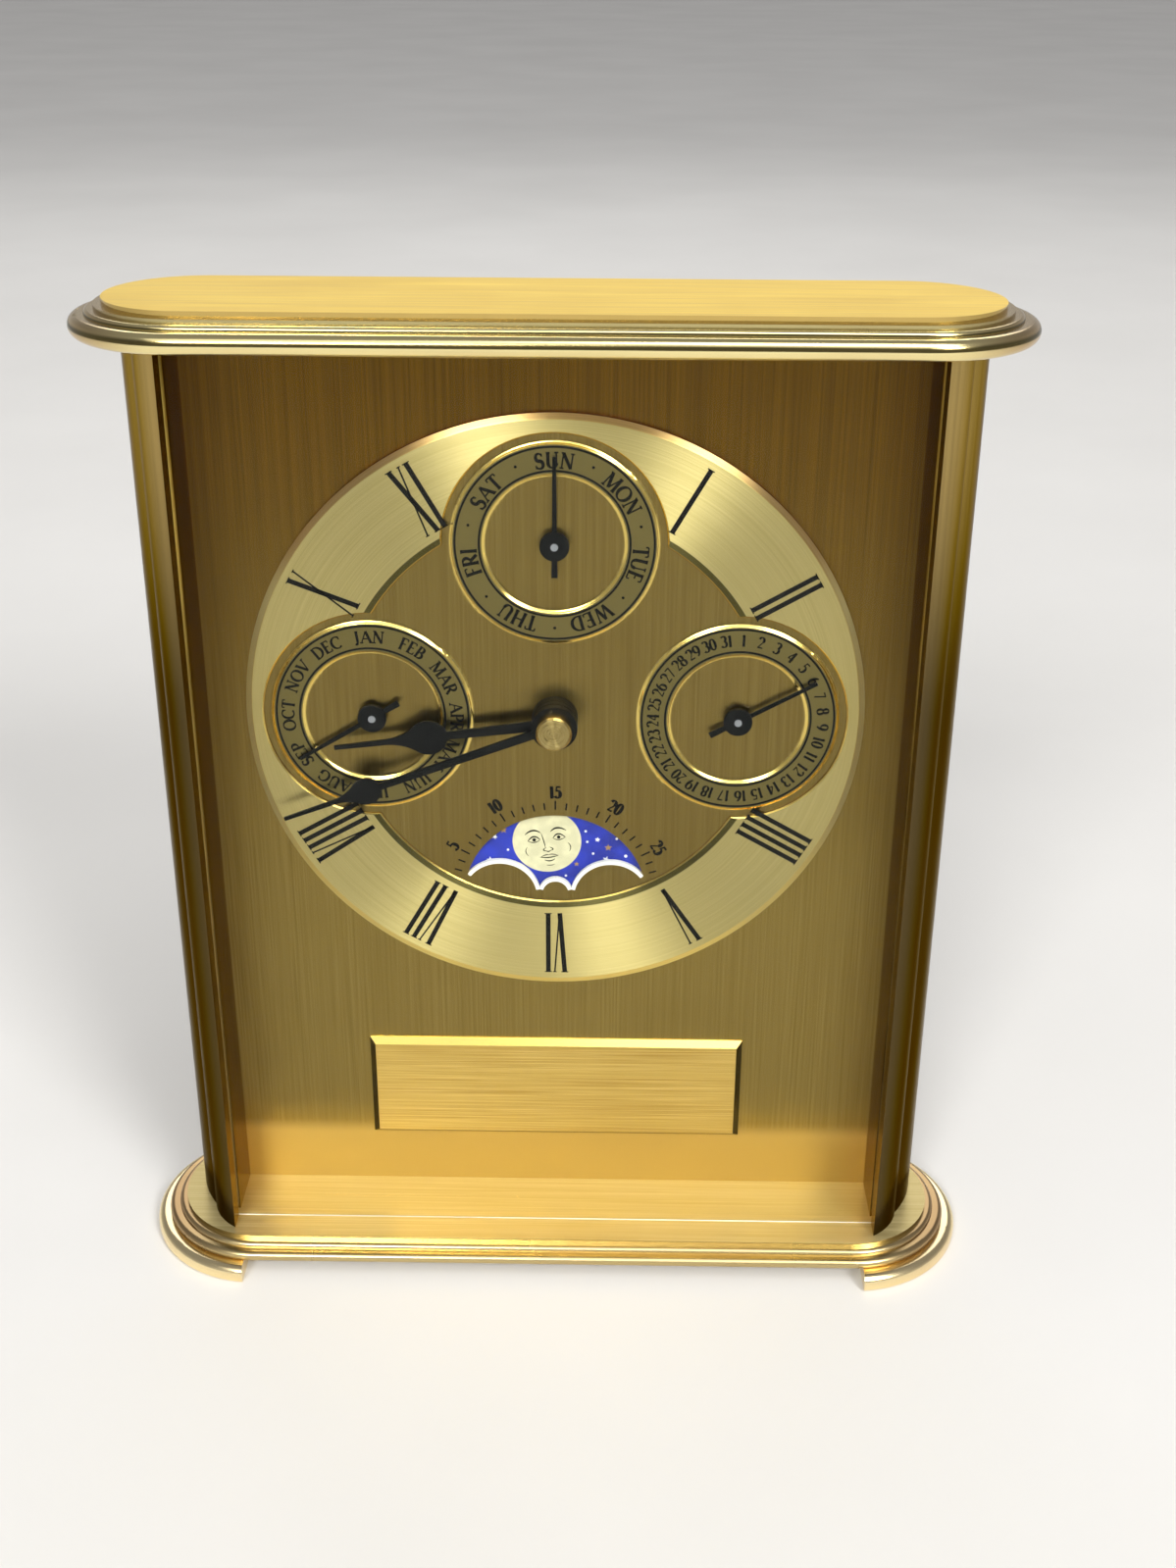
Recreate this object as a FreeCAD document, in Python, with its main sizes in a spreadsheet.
"""Oval-ended brass desk clock with day, date, month and moon dials.

Frame: +X to the right of someone reading the dial, +Y to the back, +Z up.
The origin is on the resting plane, below the middle of the case.
Millimetres. Hands and wheels turn about +Y, which is clockwise from the front.
"""
import FreeCAD, Part
import math
import os

import Sketcher

Vector = FreeCAD.Vector

DRIVING_DIMENSIONS = (
    # case, in plan every tier is a slot: two half circles about the end centres
    ("end_centre", 57.5),
    ("case_height", 183.4),
    ("foot_radius", 22.4),
    ("foot_height", 3.3),
    ("foot_inner_edge", 59.7),
    ("foot_top_round", 1.5),
    ("foot_bottom_round", 0.9),
    ("base_bead_radius", 19.9),
    ("base_bead_height", 1.9),
    ("base_ledge_radius", 17.9),
    ("base_ledge_height", 0.9),
    ("base_plate_radius", 16.4),
    ("base_plate_thickness", 0.8),
    ("top_bead_radius", 20.45),
    ("top_bead_height", 3.4),
    ("top_ledge_radius", 17.8),
    ("top_ledge_height", 0.8),
    ("top_fillet_radius", 16.2),
    ("top_fillet_height", 0.7),
    ("top_plate_radius", 14.9),
    ("top_plate_thickness", 1.0),
    ("round_margin", 0.02),
    # side columns, right-hand one in plan
    ("opening_half_width", 62.0),
    ("column_front", 14.0),
    ("column_bead_side", 66.8),
    ("column_bead_end", 7.9),
    ("column_bead_curve", 11.9),
    ("column_notch", 0.4),
    ("column_belly_side", 71.3),
    ("column_belly_end", 4.2),
    ("column_belly_curve", 22.0),
    ("column_rear_side", 66.9),
    ("column_back", 12.2),
    ("column_rear_curve", 11.9),
    ("glass_front", 10.1),
    ("glass_thickness", 2.0),
    ("glass_groove", 1.4),
    ("glass_play", 0.05),
    ("seal_width", 0.8),
    ("dial_groove", 1.2),
    # dial
    ("dial_rise", 16.8),
    ("dial_face", 2.6),
    ("dial_thickness", 0.8),
    ("dial_play", 0.1),
    ("ring_outer", 55.0),
    ("ring_inner", 37.3),
    ("ring_thickness", 1.3),
    ("ring_bevel", 1.1),
    ("ring_bevel_depth", 0.4),
    ("ring_inner_bevel", 1.3),
    ("ring_inner_depth", 0.15),
    ("ring_cut_bevel", 0.25),
    ("centre_thickness", 0.8),
    ("centre_gap", 0.1),
    ("lobe_radius", 19.3),
    ("day_offset", 32.2),
    ("side_offset", 32.5),
    ("moon_offset", 36.5),
    ("track_outer", 17.5),
    ("track_inner", 12.5),
    ("track_rise", 0.4),
    ("track_foot", 0.85),
    ("track_foot_curve", 1.3),
    ("track_shoulder", 0.1),
    ("track_shoulder_drop", 0.06),
    ("window_radius", 16.9),
    ("hump_offset", 10.3),
    ("hump_radius", 7.5),
    ("nose_rise", 0.8),
    ("nose_radius", 3.05),
    ("nameplate_width", 72.4),
    ("nameplate_height", 22.3),
    ("nameplate_drop", 0.95),
    ("nameplate_thickness", 1.3),
    ("nameplate_bevel", 1.15),
    ("rivet_radius", 0.6),
    ("rivet_circle", 46.0),
    ("rivet_depth", 0.4),
    # centre stack
    ("bushing_radius", 3.0),
    ("bushing_bore", 2.3),
    ("flange_radius", 5.0),
    ("nut_radius", 4.1),
    ("nut_thickness", 2.1),
    ("pipe_radius", 2.2),
    ("pipe_bore", 1.58),
    ("arbor_radius", 1.5),
    ("hand_hub_radius", 4.1),
    ("hub_gap", 0.2),
    ("hour_hub_thickness", 1.3),
    ("minute_hub_thickness", 1.5),
    ("blade_thickness", 0.5),
    ("cap_radius", 3.15),
    ("cap_thickness", 2.6),
    ("cap_bevel", 0.35),
    ("hour_hand_length", 39.6),
    ("minute_hand_length", 52.2),
    ("hour_hand_angle", 262.6),
    ("minute_hand_angle", 249.1),
    # small hands
    ("small_hub_radius", 2.55),
    ("small_hub_thickness", 0.8),
    ("small_blade_thickness", 0.3),
    ("small_hand_length", 15.6),
    ("small_tail_length", 5.6),
    ("small_hand_gap", 0.5),
    ("small_arbor_radius", 0.65),
    ("small_pin_height", 0.25),
    ("day_hand_angle", 0.0),
    ("date_hand_angle", 61.3),
    ("month_hand_angle", 238.6),
    # movement
    ("movement_gap", 1.0),
    ("plate_thickness", 1.0),
    ("calendar_space", 3.2),
    ("train_plate_thickness", 0.8),
    ("train_space", 5.8),
    ("housing_back", 1.2),
    ("housing_wall", 1.5),
    ("housing_side_room", 14.0),
    ("housing_below_dial", 56.0),
    ("housing_above_dial", 48.5),
    ("plate_play", 0.2),
    ("running_play", 0.08),
    ("pivot_radius", 0.5),
    ("pivot_depth", 0.5),
    ("post_radius", 3.0),
    ("post_inset", 4.6),
    ("screw_radius", 1.25),
    ("screw_head_radius", 2.5),
    ("screw_head_height", 0.8),
    ("screw_engagement", 4.0),
    ("pillar_radius", 2.5),
    ("pillar_inset", 8.0),
    ("pillar_z", 36.0),
    ("board_side", 25.0),
    ("board_inset", 5.5),
    ("board_drop", 29.0),
    ("stator_inset", 1.5),
    ("panel_thickness", 1.0),
    ("panel_half_width", 66.2),
    ("panel_gap", 0.5),
    # battery
    ("battery_radius", 7.25),
    ("battery_length", 49.5),
    ("battery_nub_radius", 2.75),
    ("battery_nub_length", 1.0),
    ("bay_half_width", 31.0),
    ("bay_height", 20.0),
    ("bay_depth", 15.2),
    ("bay_front_wall", 0.8),
    ("battery_play", 0.2),
    ("contact_thickness", 0.4),
    ("contact_width", 9.0),
    ("contact_height", 12.0),
    # knobs and buttons
    ("knob_radius", 6.0),
    ("knob_thickness", 3.0),
    ("knob_gap", 0.4),
    ("button_seat", 1.0),
    ("button_radius", 2.5),
    ("button_height", 2.2),
    ("button_stem", 1.2),
    ("button_stroke", 1.5),
    ("button_clear", 0.3),
    # case screws
    ("case_screw_radius", 1.25),
    ("case_screw_reach", 10.0),
    ("case_head_radius", 2.6),
    ("case_head_height", 1.6),
    ("counterbore_play", 0.3),
    ("front_screw_x", 64.4),
    ("front_screw_y", -6.4),
    ("rear_screw_x", 66.6),
    ("rear_screw_y", 4.6),
)


class Size:
    """A number together with the spreadsheet formula that gives it."""

    def __init__(self, number, formula=None):
        self.number = float(number)
        self.formula = formula or repr(float(number))

    def joined(self, other, sign, number):
        other = size_of(other)
        return Size(number, "(%s %s %s)" % (self.formula, sign, other.formula))

    def __add__(self, other):
        return self.joined(other, "+", self.number + size_of(other).number)

    def __sub__(self, other):
        return self.joined(other, "-", self.number - size_of(other).number)

    def __mul__(self, other):
        return self.joined(other, "*", self.number * size_of(other).number)

    def __truediv__(self, other):
        return self.joined(other, "/", self.number / size_of(other).number)

    def __neg__(self):
        return Size(-self.number, "(0 - %s)" % self.formula)

    def __radd__(self, other):
        return size_of(other) + self

    def __rsub__(self, other):
        return size_of(other) - self

    def __rmul__(self, other):
        return size_of(other) * self


def size_of(value):
    return value if isinstance(value, Size) else Size(value)


class Dimensions:
    """The driving dimensions, as Size attributes read from the sheet."""


doc = FreeCAD.newDocument("desk_clock")
sheet = doc.addObject("Spreadsheet::Sheet", "dims")
sheet.Label = "driving dimensions"
D = Dimensions()
for row, (alias, number) in enumerate(DRIVING_DIMENSIONS, start=1):
    sheet.set("A%d" % row, alias)
    sheet.set("B%d" % row, str(number))
    sheet.setAlias("B%d" % row, alias)
doc.recompute()
for alias, _number in DRIVING_DIMENSIONS:
    setattr(D, alias, Size(getattr(sheet, alias), "dims." + alias))

nodes = []


# ---------------------------------------------------------------- helpers

def bind(obj, path, size):
    """Give a property the value of a Size, as a formula on the sheet."""
    size = size_of(size)
    if "dims." in size.formula:
        obj.setExpression(path, size.formula)


def place(obj, x=0, y=0, z=0, turn=0):
    """Stand an object at x, y, z, turned clockwise as seen from the front."""
    spin = FreeCAD.Rotation(Vector(0, 1, 0), size_of(turn).number)
    base = Vector(size_of(x).number, size_of(y).number, size_of(z).number)
    obj.Placement = FreeCAD.Placement(base, spin)
    for axis, size in zip("xyz", (x, y, z)):
        bind(obj, ".Placement.Base." + axis, size)
    if "dims." in size_of(turn).formula:
        bind(obj, ".Placement.Rotation.Angle", turn)


def new_body(label):
    body = doc.addObject("PartDesign::Body", label)
    body.Label = label
    nodes.append(body)
    return body


def new_sketch(body, name, plane, level=0):
    """A sketch on one of the body's own planes: XY at z, XZ at y."""
    sketch = body.newObject("Sketcher::SketchObject", body.Name + "_" + name)
    support = [f for f in body.Origin.OriginFeatures if f.Role == plane + "_Plane"][0]
    sketch.AttachmentSupport = [(support, "")]
    sketch.MapMode = "FlatFace"
    offset = size_of(level) if plane == "XY" else -size_of(level)
    sketch.AttachmentOffset = FreeCAD.Placement(Vector(0, 0, offset.number), FreeCAD.Rotation())
    bind(sketch, ".AttachmentOffset.Base.z", offset)
    return sketch


def pin_point(sketch, geometry, position, x, y):
    """Hold one point of a sketch at x, y by its distances from the axes."""
    for kind, axis, size in (("DistanceX", -2, size_of(x)), ("DistanceY", -1, size_of(y))):
        if size.number == 0:
            sketch.addConstraint(Sketcher.Constraint("PointOnObject", geometry, position, axis))
            continue
        rule = Sketcher.Constraint(kind, -1, 1, geometry, position, size.number)
        index = sketch.addConstraint(rule)
        name = "%s_%d_%d" % (kind, geometry, position)
        sketch.renameConstraint(index, name)
        bind(sketch, ".Constraints." + name, size)


def set_radius(sketch, geometry, radius):
    radius = size_of(radius)
    index = sketch.addConstraint(Sketcher.Constraint("Radius", geometry, radius.number))
    name = "radius_%d" % geometry
    sketch.renameConstraint(index, name)
    bind(sketch, ".Constraints." + name, radius)


def circle(sketch, x, y, radius):
    centre = Vector(size_of(x).number, size_of(y).number, 0)
    geometry = sketch.addGeometry(Part.Circle(centre, Vector(0, 0, 1), size_of(radius).number))
    set_radius(sketch, geometry, radius)
    pin_point(sketch, geometry, 3, x, y)


def arc_between(start, end, radius, side):
    """Circle arc from start to end; side +1 has its centre left of the way."""
    chord = end - start
    half = chord.Length / 2
    rise = math.sqrt(max(radius * radius - half * half, 0))
    left = Vector(-chord.y, chord.x, 0).normalize()
    centre = (start + end) * 0.5 + left * (rise * side)
    first, last = (start, end) if side > 0 else (end, start)
    ring = Part.Circle(centre, Vector(0, 0, 1), radius)
    return Part.ArcOfCircle(ring, ring.parameter(first), ring.parameter(last))


def outline(sketch, points, arcs=None):
    """Closed outline through points; arcs maps a side's number to (radius, side)."""
    arcs = arcs or {}
    spots = [Vector(size_of(x).number, size_of(y).number, 0) for x, y in points]
    count = len(spots)
    sides = []
    for i, start in enumerate(spots):
        end = spots[(i + 1) % count]
        if i in arcs:
            radius, side = arcs[i]
            curve = arc_between(start, end, size_of(radius).number, side)
            geometry = sketch.addGeometry(curve)
            set_radius(sketch, geometry, radius)
            ends = (1, 2) if side > 0 else (2, 1)
        else:
            geometry = sketch.addGeometry(Part.LineSegment(start, end))
            ends = (1, 2)
        sides.append((geometry, ends))
    for i, (geometry, ends) in enumerate(sides):
        follower, follower_ends = sides[(i + 1) % count]
        sketch.addConstraint(
            Sketcher.Constraint("Coincident", geometry, ends[1], follower, follower_ends[0]))
    for (geometry, ends), (x, y) in zip(sides, points):
        pin_point(sketch, geometry, ends[0], x, y)


def rectangle(sketch, x0, y0, x1, y1):
    outline(sketch, ((x0, y0), (x1, y0), (x1, y1), (x0, y1)))


def slot(sketch, radius):
    """Two half circles about the case's end centres, joined by straight sides."""
    reach = D.end_centre
    c, r = reach.number, size_of(radius).number
    lower = sketch.addGeometry(Part.LineSegment(Vector(-c, -r, 0), Vector(c, -r, 0)))
    right = sketch.addGeometry(Part.ArcOfCircle(
        Part.Circle(Vector(c, 0, 0), Vector(0, 0, 1), r), -math.pi / 2, math.pi / 2))
    upper = sketch.addGeometry(Part.LineSegment(Vector(c, r, 0), Vector(-c, r, 0)))
    left = sketch.addGeometry(Part.ArcOfCircle(
        Part.Circle(Vector(-c, 0, 0), Vector(0, 0, 1), r), math.pi / 2, 3 * math.pi / 2))
    ring = (lower, right, upper, left)
    for i, geometry in enumerate(ring):
        sketch.addConstraint(
            Sketcher.Constraint("Coincident", geometry, 2, ring[(i + 1) % 4], 1))
    for geometry, centre in ((right, reach), (left, -reach)):
        pin_point(sketch, geometry, 3, centre, 0)
        set_radius(sketch, geometry, radius)
    for geometry, position, x in ((lower, 1, -reach), (lower, 2, reach),
                                  (upper, 1, reach), (upper, 2, -reach)):
        index = sketch.addConstraint(
            Sketcher.Constraint("DistanceX", -1, 1, geometry, position, x.number))
        name = "side_%d_%d" % (geometry, position)
        sketch.renameConstraint(index, name)
        bind(sketch, ".Constraints." + name, x)


def pad(body, sketch, length):
    """Pad along the sketch's normal: up from XY, forwards (-Y) from XZ."""
    feature = body.newObject("PartDesign::Pad", sketch.Name + "_pad")
    feature.Profile = sketch
    feature.Length = size_of(length).number
    bind(feature, ".Length", length)
    return feature


def pocket(body, sketch, length):
    """Cut against the sketch's normal: down from XY, backwards (+Y) from XZ."""
    feature = body.newObject("PartDesign::Pocket", sketch.Name + "_pocket")
    feature.Profile = sketch
    feature.Length = size_of(length).number
    bind(feature, ".Length", length)
    return feature


def edges_where(feature, test):
    """Names of the edges whose ends and middle all pass the test."""
    names = []
    for number, edge in enumerate(feature.Shape.Edges, start=1):
        middle = edge.valueAt((edge.FirstParameter + edge.LastParameter) / 2)
        spots = [vertex.Point for vertex in edge.Vertexes] + [middle]
        if all(test(spot) for spot in spots):
            names.append("Edge%d" % number)
    return names


def round_edges(body, feature, name, radius, test):
    doc.recompute()
    result = body.newObject("PartDesign::Fillet", body.Name + "_" + name)
    result.Base = (feature, edges_where(feature, test))
    result.Radius = size_of(radius).number
    bind(result, ".Radius", radius)
    return result


def bevel_edges(body, feature, name, size, test):
    doc.recompute()
    result = body.newObject("PartDesign::Chamfer", body.Name + "_" + name)
    result.Base = (feature, edges_where(feature, test))
    result.Size = size_of(size).number
    bind(result, ".Size", size)
    return result


def near(a, b):
    return abs(a - size_of(b).number) < 1e-4


def at_z(level):
    return lambda spot: near(spot.z, level)


def slot_pad(body, name, z, radius, height):
    sketch = new_sketch(body, name, "XY", z)
    slot(sketch, radius)
    return pad(body, sketch, height)


def turned(label, profile, x=0, z=0, turn=0):
    """Piece turned about an axis along Y; profile holds (radius, y) points."""
    body = new_body(label)
    sketch = new_sketch(body, "profile", "XY")
    outline(sketch, profile)
    revolution = body.newObject("PartDesign::Revolution", label + "_turn")
    revolution.Profile = sketch
    revolution.ReferenceAxis = (sketch, ["V_Axis"])
    revolution.Angle = 360
    place(body, x, 0, z, turn)
    return body


def turned_part(body, kind, name, profile, x, z, arcs=None):
    """Revolution or Groove in a body about an axis along Y through x, z."""
    sketch = new_sketch(body, name, "XY", z)
    outline(sketch, [(x + radius, y) for radius, y in profile], arcs)
    ends = (D.dial_face, dial_back)
    spots = [Vector(size_of(x).number, y.number, 0) for y in ends]
    axis = sketch.addGeometry(Part.LineSegment(*spots), True)
    for position, y in zip((1, 2), ends):
        pin_point(sketch, axis, position, x, y)
    feature = body.newObject("PartDesign::" + kind, body.Name + "_" + name + "_turn")
    feature.Profile = sketch
    feature.ReferenceAxis = (sketch, ["Axis0"])
    feature.Angle = 360
    return feature


def cylinder_y(label, x, z, front, back, radius):
    """Round bar along Y, from front to back."""
    bar = doc.addObject("Part::Cylinder", label)
    bar.Placement = FreeCAD.Placement(
        Vector(size_of(x).number, size_of(front).number, size_of(z).number),
        FreeCAD.Rotation(Vector(1, 0, 0), -90))
    for axis, size in zip("xyz", (x, front, z)):
        bind(bar, ".Placement.Base." + axis, size)
    length = size_of(back) - front
    bar.Height = length.number
    bind(bar, ".Height", length)
    bar.Radius = size_of(radius).number
    bind(bar, ".Radius", radius)
    return bar


def cylinder_z(label, x, y, bottom, top, radius):
    """Round bar along Z, from bottom to top."""
    bar = doc.addObject("Part::Cylinder", label)
    place(bar, x, y, bottom)
    length = size_of(top) - bottom
    bar.Height = length.number
    bind(bar, ".Height", length)
    bar.Radius = size_of(radius).number
    bind(bar, ".Radius", radius)
    return bar


def box(label, x0, x1, y0, y1, z0, z1):
    block = doc.addObject("Part::Box", label)
    place(block, x0, y0, z0)
    for side, low, high in (("Length", x0, x1), ("Width", y0, y1), ("Height", z0, z1)):
        extent = size_of(high) - low
        setattr(block, side, extent.number)
        bind(block, "." + side, extent)
    return block


def fused(label, pieces):
    result = doc.addObject("Part::MultiFuse", label)
    result.Shapes = pieces
    return result


def group(label, pieces):
    """Identical separate solids that share one node."""
    result = doc.addObject("Part::Compound", label)
    result.Label = label
    result.Links = pieces
    nodes.append(result)
    return result


# ------------------------------------------------------------ gear helpers

ADDENDUM = 0.85
DEDENDUM = 1.15
ROOT_SHARE = 0.52
PITCH_SHARE = 0.38
TIP_SHARE = 0.20


def polar(radius, angle):
    """Point at a clock angle, degrees clockwise from +Z."""
    turn = math.radians(angle)
    return Vector(radius * math.sin(turn), 0, radius * math.cos(turn))


def clock_angle(start, end):
    return math.degrees(math.atan2(end[0] - start[0], end[1] - start[1]))


def step(centre, angle, distance):
    spot = polar(distance, angle)
    return (centre[0] + spot.x, centre[1] + spot.z)


def gear_distance(teeth_a, teeth_b, module):
    return (teeth_a + teeth_b) * module / 2


def meshed_phase(phase, teeth, direction, follower_teeth):
    """Phase that sets a follower's gap on the leader's tooth nearest to it."""
    pitch = 360.0 / teeth
    lead = (phase - direction + pitch / 2) % pitch - pitch / 2
    return direction + 180 - lead * teeth / follower_teeth + 180.0 / follower_teeth


def toothed(centre, front, thickness, teeth, module, phase):
    """Spur wheel with straight-flanked teeth, its bore left solid."""
    radius = teeth * module / 2
    pitch = 360.0 / teeth
    levels = ((radius - DEDENDUM * module, ROOT_SHARE), (radius, PITCH_SHARE),
              (radius + ADDENDUM * module, TIP_SHARE))
    corners = []
    for tooth in range(teeth):
        middle = phase + tooth * pitch
        corners += [polar(r, middle - share * pitch / 2) for r, share in levels]
        corners += [polar(r, middle + share * pitch / 2) for r, share in reversed(levels)]
    face = Part.Face(Part.makePolygon(corners + [corners[0]]))
    solid = face.extrude(Vector(0, thickness, 0))
    solid.translate(Vector(centre[0], front, centre[1]))
    return solid


def star(centre, front, thickness, teeth, tip, root, phase):
    """Star wheel: pointed teeth between a root circle and a tip circle."""
    pitch = 360.0 / teeth
    corners = []
    for tooth in range(teeth):
        middle = phase + tooth * pitch
        corners += [polar(root, middle - pitch / 2), polar(tip, middle - pitch / 12),
                    polar(tip, middle + pitch / 12)]
    face = Part.Face(Part.makePolygon(corners + [corners[0]]))
    solid = face.extrude(Vector(0, thickness, 0))
    solid.translate(Vector(centre[0], front, centre[1]))
    return solid


def rod(centre, radius, front, back):
    base = Vector(centre[0], front, centre[1])
    return Part.makeCylinder(radius, back - front, base, Vector(0, 1, 0))


def wheel_node(label, solids, bores=()):
    """A wheel with its arbor: solids fused, then bored, in one piece."""
    shape = solids[0]
    if len(solids) > 1:
        shape = shape.multiFuse(solids[1:]).removeSplitter()
    for bore in bores:
        shape = shape.cut(bore)
    feature = doc.addObject("Part::Feature", label)
    feature.Label = label
    feature.Shape = shape.Solids[0] if len(shape.Solids) == 1 else shape
    nodes.append(feature)
    return feature


# ------------------------------------------------------------ shared levels

foot_top = D.foot_height
base_bead_top = foot_top + D.base_bead_height
base_ledge_top = base_bead_top + D.base_ledge_height
floor = base_ledge_top + D.base_plate_thickness
top_plate_bottom = D.case_height - D.top_plate_thickness
top_fillet_bottom = top_plate_bottom - D.top_fillet_height
top_ledge_bottom = top_fillet_bottom - D.top_ledge_height
ceiling = top_ledge_bottom - D.top_bead_height

dial_back = D.dial_face + D.dial_thickness
ring_front = D.dial_face - D.ring_thickness
centre_front = D.dial_face - D.centre_thickness
track_front = centre_front - D.track_rise
centre_radius = D.ring_inner - D.centre_gap
front_plate_front = dial_back + D.movement_gap
front_plate_back = front_plate_front + D.plate_thickness
train_plate_front = front_plate_back + D.calendar_space
train_plate_back = train_plate_front + D.train_plate_thickness
housing_inside = train_plate_back + D.train_space
housing_outside = housing_inside + D.housing_back
panel_back = D.column_back + D.panel_thickness

dial_centre = (floor + ceiling) / 2 + D.dial_rise
day_height = dial_centre + D.day_offset
moon_height = dial_centre - D.moon_offset
housing_half_width = D.side_offset + D.housing_side_room + D.housing_wall
nameplate_centre = (floor + dial_centre - D.ring_outer) / 2 - D.nameplate_drop
housing_bottom = dial_centre - D.housing_below_dial
housing_top = dial_centre + D.housing_above_dial
bay_bottom = housing_bottom - D.bay_height

nut_front = centre_front - D.nut_thickness
hour_hub_back = nut_front - D.hub_gap
hour_hub_front = hour_hub_back - D.hour_hub_thickness
minute_hub_back = hour_hub_front - D.hub_gap
minute_hub_front = minute_hub_back - D.minute_hub_thickness
cap_front = minute_hub_front - D.cap_thickness

SMALL_AXES = {
    "day": (Size(0), day_height),
    "date": (D.side_offset, dial_centre),
    "month": (-D.side_offset, dial_centre),
}
CASE_SCREWS = [(D.front_screw_x * side, D.front_screw_y) for side in (-1, 1)]
CASE_SCREWS += [(D.rear_screw_x * side, D.rear_screw_y) for side in (-1, 1)]


# ---------------------------------------------------------------- the case

def build_foot(label, side):
    """Half-oval tier under one end of the case, with rounded rims."""
    body = new_body(label)
    tier = slot_pad(body, "tier", 0, D.foot_radius, D.foot_height)
    top = round_edges(body, tier, "top_round", D.foot_top_round, at_z(foot_top))
    bottom = round_edges(body, top, "bottom_round", D.foot_bottom_round, at_z(0))
    far = D.end_centre + D.foot_radius + 1
    deep = D.foot_radius + 1
    cut = new_sketch(body, "cut", "XY", foot_top)
    rectangle(cut, -far * side, -deep, D.foot_inner_edge * side, deep)
    pocket(body, cut, D.foot_height)
    holes = new_sketch(body, "holes", "XY", foot_top)
    bores = new_sketch(body, "counterbores", "XY", counterbore_top)
    for x, y in CASE_SCREWS:
        if x.number * side > 0:
            circle(holes, x, y, D.case_screw_radius + D.glass_play)
            circle(bores, x, y, D.case_head_radius + D.counterbore_play)
    pocket(body, holes, D.foot_height)
    pocket(body, bores, counterbore_top)
    return bottom


counterbore_top = foot_top - D.base_plate_thickness
build_foot("foot_left", -1)
build_foot("foot_right", 1)


def screw_holes(body, top, depth, play=0.05):
    sketch = new_sketch(body, "screw_holes", "XY", top)
    for x, y in CASE_SCREWS:
        circle(sketch, x, y, D.case_screw_radius + play)
    return pocket(body, sketch, depth)


def build_base_moulding():
    """Bead with a rounded ledge above it, one casting."""
    body = new_body("base_moulding")
    bead = slot_pad(body, "bead", foot_top, D.base_bead_radius, D.base_bead_height)
    bead_round = D.base_bead_height / 2 - D.round_margin
    rounded = round_edges(body, bead, "bead_round", bead_round,
                          lambda spot: near(spot.z, foot_top) or near(spot.z, base_bead_top))
    ledge = slot_pad(body, "ledge", base_bead_top, D.base_ledge_radius, D.base_ledge_height)
    ledge_round = D.base_ledge_height - D.round_margin * 5
    round_edges(body, ledge, "ledge_round", ledge_round, at_z(base_ledge_top))
    screw_holes(body, base_ledge_top, base_ledge_top - foot_top)
    return rounded


build_base_moulding()


def build_base_plate():
    """Brushed flat plate that is also the floor of the case."""
    body = new_body("base_plate")
    slot_pad(body, "plate", base_ledge_top, D.base_plate_radius, D.base_plate_thickness)
    screw_holes(body, floor, D.base_plate_thickness)


build_base_plate()


def build_top_moulding():
    """Half-round bead with two narrow ledges above it, one casting."""
    body = new_body("top_moulding")
    bead = slot_pad(body, "bead", ceiling, D.top_bead_radius, D.top_bead_height)
    bead_round = D.top_bead_height / 2 - D.round_margin
    round_edges(body, bead, "bead_round", bead_round,
                lambda spot: near(spot.z, ceiling) or near(spot.z, top_ledge_bottom))
    ledge = slot_pad(body, "ledge", top_ledge_bottom, D.top_ledge_radius, D.top_ledge_height)
    ledge_round = D.top_ledge_height - D.round_margin * 5
    round_edges(body, ledge, "ledge_round", ledge_round, at_z(top_fillet_bottom))
    slot_pad(body, "fillet", top_fillet_bottom, D.top_fillet_radius, D.top_fillet_height)
    screw_holes(body, top_plate_bottom, top_plate_bottom - ceiling)
    sketch = new_sketch(body, "counterbores", "XY", top_plate_bottom)
    for x, y in CASE_SCREWS:
        circle(sketch, x, y, D.case_head_radius + D.counterbore_play)
    pocket(body, sketch, top_plate_bottom - top_head_bottom)


top_head_bottom = top_plate_bottom - D.case_head_height - D.counterbore_play
build_top_moulding()


def build_top_plate():
    """Brushed oval plate on top of the case."""
    body = new_body("top_plate")
    slot_pad(body, "plate", top_plate_bottom, D.top_plate_radius, D.top_plate_thickness)


build_top_plate()


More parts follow.
